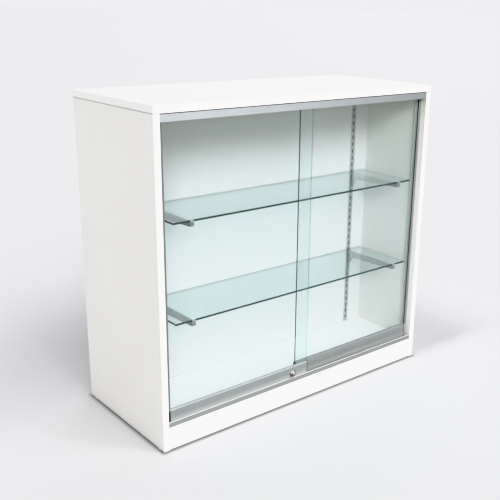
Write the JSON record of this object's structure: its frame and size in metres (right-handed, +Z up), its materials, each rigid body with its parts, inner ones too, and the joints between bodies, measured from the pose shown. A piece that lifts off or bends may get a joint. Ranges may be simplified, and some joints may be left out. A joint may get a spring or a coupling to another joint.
{
  "type": "glass display counter",
  "caption": "Free-standing shop counter with sliding glass doors, glass shelves on slotted standards, a push lock and an open storage bay behind.",
  "frame": {"origin": "centre of the cabinet's footprint, on the floor", "axes": "+X to the right seen from the front, +Y from the front with the doors to the back, +Z up"},
  "size_m": [1.08, 0.4608, 1],
  "materials": {
    "laminate_board": "satin melamine faced board, warm white",
    "edge_band": "satin white edge strip",
    "beech": "plain beech, unfinished",
    "white_plastic": "moulded plastic",
    "anodised_aluminium": "satin silver anodised, drawn lengthwise",
    "track_liner": "soft strip with a napped face",
    "grey_rubber": "extruded soft rubber",
    "black_plastic": "moulded plastic, fine grain",
    "nylon": "natural nylon",
    "satin_steel": "satin nickel plated sheet steel",
    "zinc_steel": "bright zinc plated",
    "clear_plastic": "translucent soft plastic",
    "clear_glass": "clear float glass with ground and polished edges, faint green",
    "lock_chrome": "bright chrome plated",
    "key_brass": "machined brass, nickel plated face"
  },
  "bodies": {
    "cabinet": {"top_panel": "laminate_board", "left_side_panel": "laminate_board", "right_side_panel": "laminate_board", "deck_panel": "laminate_board", "display_back_panel": "laminate_board", "front_plinth": "laminate_board", "rear_plinth": "laminate_board", "lower_storage_shelf": "laminate_board", "upper_storage_shelf": "laminate_board", "top_edge_banding": "edge_band", "side_edge_banding": "edge_band", "plinth_blocks": "beech", "wood_dowels": "beech", "floor_glides": "white_plastic", "upper_track": "anodised_aluminium", "lower_track": "anodised_aluminium", "left_jamb_channel": "anodised_aluminium", "right_jamb_channel": "anodised_aluminium", "upper_track_liners": "track_liner", "jamb_bumpers": "grey_rubber", "left_slotted_standard": "satin_steel", "right_slotted_standard": "satin_steel", "upper_left_bracket": "satin_steel", "upper_right_bracket": "satin_steel", "lower_left_bracket": "satin_steel", "lower_right_bracket": "satin_steel", "storage_shelf_pins": "zinc_steel", "connector_cams": "zinc_steel", "connector_rods": "zinc_steel", "back_panel_screws": "zinc_steel", "track_screws": "zinc_steel", "standard_screws": "zinc_steel", "bracket_pads": "clear_plastic", "bracket_tip_caps": "clear_plastic", "upper_glass_shelf": "clear_glass", "lower_glass_shelf": "clear_glass"},
    "front_door": {"front_door_glass": "clear_glass", "front_door_shoe": "anodised_aluminium", "front_door_gasket": "grey_rubber", "front_door_end_caps": "black_plastic", "front_door_roller_carriers": "nylon", "front_door_axles": "zinc_steel", "lock_housing": "lock_chrome", "lock_nut": "zinc_steel", "lock_spring": "zinc_steel"},
    "rear_door": {"rear_door_glass": "clear_glass", "rear_door_shoe": "anodised_aluminium", "rear_door_gasket": "grey_rubber", "rear_door_end_caps": "black_plastic", "rear_door_roller_carriers": "nylon", "rear_door_axles": "zinc_steel", "lock_keeper": "zinc_steel", "keeper_screws": "zinc_steel"},
    "front_left_roller": {"front_left_roller": "nylon"},
    "front_right_roller": {"front_right_roller": "nylon"},
    "rear_left_roller": {"rear_left_roller": "nylon"},
    "rear_right_roller": {"rear_right_roller": "nylon"},
    "lock_plunger": {"lock_plunger": "lock_chrome"},
    "key_plug": {"key_plug": "key_brass"}
  },
  "joints": [
    {"name": "front_door_slide", "type": "slide", "parent": "cabinet", "child": "front_door", "axis": [1, 0, 0], "range_m": [0, 0.5]},
    {"name": "rear_door_slide", "type": "slide", "parent": "cabinet", "child": "rear_door", "axis": [-1, 0, 0], "range_m": [0, 0.474]},
    {"name": "front_left_roller_spin", "type": "hinge", "parent": "front_door", "child": "front_left_roller", "pos_m": [-0.469, -0.2145, 0.0867], "axis": [0, 1, 0], "continuous": true},
    {"name": "front_right_roller_spin", "type": "hinge", "parent": "front_door", "child": "front_right_roller", "pos_m": [-0.0265, -0.2145, 0.0867], "axis": [0, 1, 0], "continuous": true},
    {"name": "rear_left_roller_spin", "type": "hinge", "parent": "rear_door", "child": "rear_left_roller", "pos_m": [0.0265, -0.1965, 0.0867], "axis": [0, 1, 0], "continuous": true},
    {"name": "rear_right_roller_spin", "type": "hinge", "parent": "rear_door", "child": "rear_right_roller", "pos_m": [0.469, -0.1965, 0.0867], "axis": [0, 1, 0], "continuous": true},
    {"name": "lock_push", "type": "slide", "parent": "front_door", "child": "lock_plunger", "axis": [0, 1, 0], "range_m": [0, 0.0045], "stiffness_N_per_m": 300, "springref_m": -0.005, "deforming": ["lock_spring"]},
    {"name": "key_turn", "type": "hinge", "parent": "lock_plunger", "child": "key_plug", "pos_m": [-0.048, -0.2305, 0.10525], "axis": [0, -1, 0], "range_deg": [0, 90]}
  ],
  "couplings": [
    {"joint": "front_left_roller_spin", "follows": "front_door_slide", "rad_per_m": 142.86},
    {"joint": "front_right_roller_spin", "follows": "front_door_slide", "rad_per_m": 142.86},
    {"joint": "rear_left_roller_spin", "follows": "rear_door_slide", "rad_per_m": -142.86},
    {"joint": "rear_right_roller_spin", "follows": "rear_door_slide", "rad_per_m": -142.86}
  ]
}
